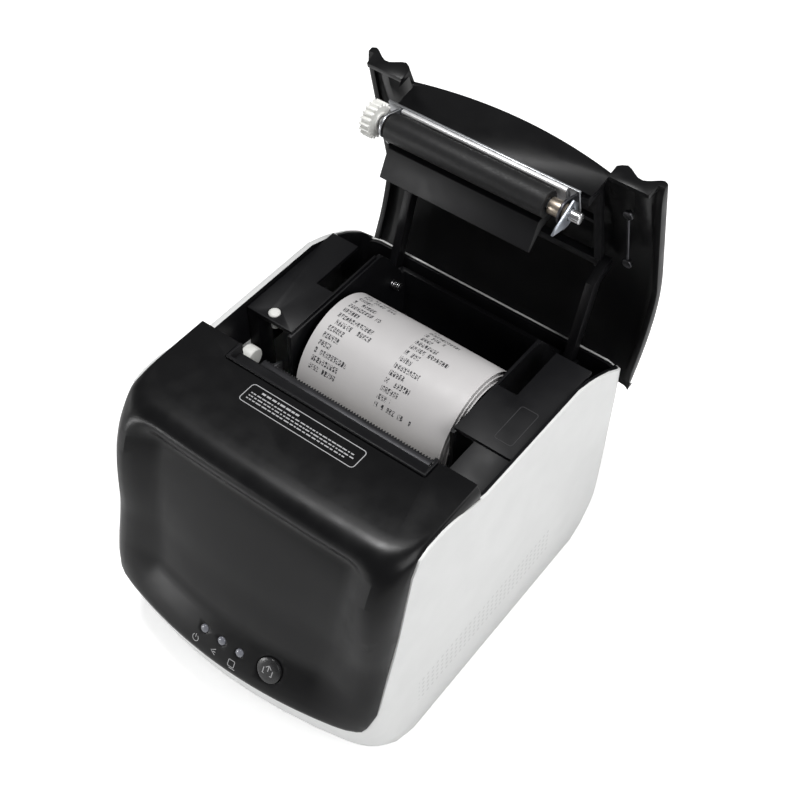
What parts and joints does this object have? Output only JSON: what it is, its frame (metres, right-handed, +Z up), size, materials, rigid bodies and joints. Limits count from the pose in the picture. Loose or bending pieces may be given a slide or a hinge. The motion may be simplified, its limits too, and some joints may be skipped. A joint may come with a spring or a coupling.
{
  "type": "receipt printer",
  "caption": "Countertop receipt printer with a white shell, black front cover, feed button, paper slip and an open lid that carries the platen.",
  "frame": {"origin": "centre of the bounding box seen from above, with the lid open, at the underside of the feet", "axes": "+X to the printer's right as seen from the front, +Y to its rear, where the lid is hinged, and +Z up; the front cover faces -Y"},
  "size_m": [0.147, 0.222, 0.2017],
  "materials": {
    "white_plastic": "fine matt, moulded",
    "pale_plastic": "matt, moulded",
    "black_cover_plastic": "satin, moulded",
    "black_inner_plastic": "satin, moulded",
    "button_plastic": "smooth",
    "grey_lens": "clear to milky grey",
    "foot_rubber": "matt",
    "roller_rubber": "ground, matt",
    "green_board": "lacquered board",
    "dark_steel": "black coated steel",
    "sheet_steel": "zinc-plated sheet",
    "bright_steel": "ground or drawn, bright",
    "aluminium": "pressed, plain",
    "head_glaze": "glazed, pale, stands for the ceramic strip",
    "bush_bronze": "sintered, plain",
    "white_nylon": "moulded gear plastic",
    "thermal_paper": "smooth white paper with black printed marks"
  },
  "bodies": {
    "case": {"outer_shell": "white_plastic", "base_plate": "pale_plastic", "foot_1": "foot_rubber", "foot_2": "foot_rubber", "foot_3": "foot_rubber", "foot_4": "foot_rubber", "front_cover": "black_cover_plastic", "led_power": "grey_lens", "led_error": "grey_lens", "led_paper": "grey_lens", "panel_board": "green_board", "exit_bar": "black_inner_plastic", "tear_strip": "dark_steel", "paper_bucket": "black_inner_plastic", "chassis": "sheet_steel", "head_pin": "bright_steel", "head_spring_left": "bright_steel", "head_spring_right": "bright_steel", "cutter_guide": "black_inner_plastic", "cutter_motor": "sheet_steel", "feed_motor": "sheet_steel", "main_board": "green_board", "buzzer": "black_inner_plastic", "port_panel": "black_inner_plastic", "power_inlet": "black_inner_plastic", "usb_socket": "sheet_steel", "network_socket": "sheet_steel", "drawer_socket": "black_inner_plastic", "switch_housing": "black_inner_plastic", "hinge_bracket_left": "black_inner_plastic", "hinge_bracket_right": "black_inner_plastic", "hinge_pin_left": "bright_steel", "hinge_pin_right": "bright_steel", "paper_slip": "thermal_paper"},
    "lid": {"lid_cover": "black_cover_plastic", "lid_frame": "black_inner_plastic", "blade_plate": "sheet_steel", "fixed_knife": "bright_steel", "platen_plate_left": "sheet_steel", "platen_plate_right": "sheet_steel", "platen_bush_left": "bush_bronze", "platen_bush_right": "bush_bronze", "paper_guide": "black_inner_plastic", "latch_rod": "bright_steel", "rod_screw_front": "bright_steel", "rod_screw_rear": "bright_steel"},
    "platen": {"platen_roller": "roller_rubber", "platen_shaft": "bright_steel", "platen_gear": "white_nylon"},
    "latch": {"latch_hook": "sheet_steel"},
    "print_head_unit": {"head_heat_sink": "aluminium", "print_head": "head_glaze"},
    "knife": {"cutter_blade": "bright_steel"},
    "hand_wheel": {"cutter_hand_wheel": "white_nylon"},
    "drive_gear": {"feed_drive_gear": "white_nylon"},
    "idler_gear": {"feed_idler_gear": "white_nylon"},
    "pinion": {"motor_pinion": "white_nylon"},
    "button": {"feed_button": "button_plastic"},
    "sensor": {"lid_sensor_plunger": "white_nylon"},
    "switch": {"power_switch": "black_inner_plastic"}
  },
  "joints": [
    {"name": "lid_hinge", "type": "hinge", "parent": "case", "child": "lid", "pos_m": [0.0025, 0.07848, 0.0911], "axis": [1, 0, 0], "range_deg": [0, 78], "deforming": ["paper_slip"]},
    {"name": "platen_spin", "type": "hinge", "parent": "lid", "child": "platen", "pos_m": [0.0025, 0.0678, 0.18851], "axis": [1, 0, 0], "continuous": true},
    {"name": "latch_hook_pivot", "type": "hinge", "parent": "lid", "child": "latch", "pos_m": [0.0452, 0.0678, 0.18851], "axis": [1, 0, 0], "range_deg": [-10, 15], "stiffness_Nm_per_rad": 0.05},
    {"name": "head_pivot", "type": "hinge", "parent": "case", "child": "print_head_unit", "pos_m": [0.0025, -0.02897, 0.082], "axis": [1, 0, 0], "range_deg": [0, 3], "stiffness_Nm_per_rad": 2, "springref_deg": -1.15},
    {"name": "cutter_wheel_spin", "type": "hinge", "parent": "case", "child": "hand_wheel", "pos_m": [-0.0595, -0.01252, 0.1045], "axis": [1, 0, 0], "range_deg": [0, 180]},
    {"name": "cutter_knife_slide", "type": "slide", "parent": "case", "child": "knife", "axis": [0, 1, 0], "range_m": [0, 0.008]},
    {"name": "feed_drive_spin", "type": "hinge", "parent": "case", "child": "drive_gear", "pos_m": [-0.055, -0.02487, 0.08483], "axis": [1, 0, 0], "continuous": true},
    {"name": "feed_idler_spin", "type": "hinge", "parent": "case", "child": "idler_gear", "pos_m": [-0.055, -0.04043, 0.08281], "axis": [1, 0, 0], "continuous": true},
    {"name": "motor_pinion_spin", "type": "hinge", "parent": "case", "child": "pinion", "pos_m": [-0.055, -0.04622, 0.0731], "axis": [1, 0, 0], "continuous": true},
    {"name": "feed_button_press", "type": "slide", "parent": "case", "child": "button", "axis": [0, 0.866, -0.5], "range_m": [0, 0.001], "stiffness_N_per_m": 600, "springref_m": -0.0008},
    {"name": "lid_sensor_press", "type": "slide", "parent": "case", "child": "sensor", "axis": [0, 0, -1], "range_m": [0, 0.002], "stiffness_N_per_m": 150, "springref_m": -0.001},
    {"name": "power_switch_rock", "type": "hinge", "parent": "case", "child": "switch", "pos_m": [0.0455, 0.07398, 0.021], "axis": [1, 0, 0], "range_deg": [0, 16]}
  ],
  "couplings": [
    {"joint": "cutter_wheel_spin", "follows": "cutter_knife_slide", "rad_per_m": 392.69},
    {"joint": "feed_idler_spin", "follows": "feed_drive_spin", "ratio": -1.0526},
    {"joint": "motor_pinion_spin", "follows": "feed_drive_spin", "ratio": 2.2222}
  ]
}
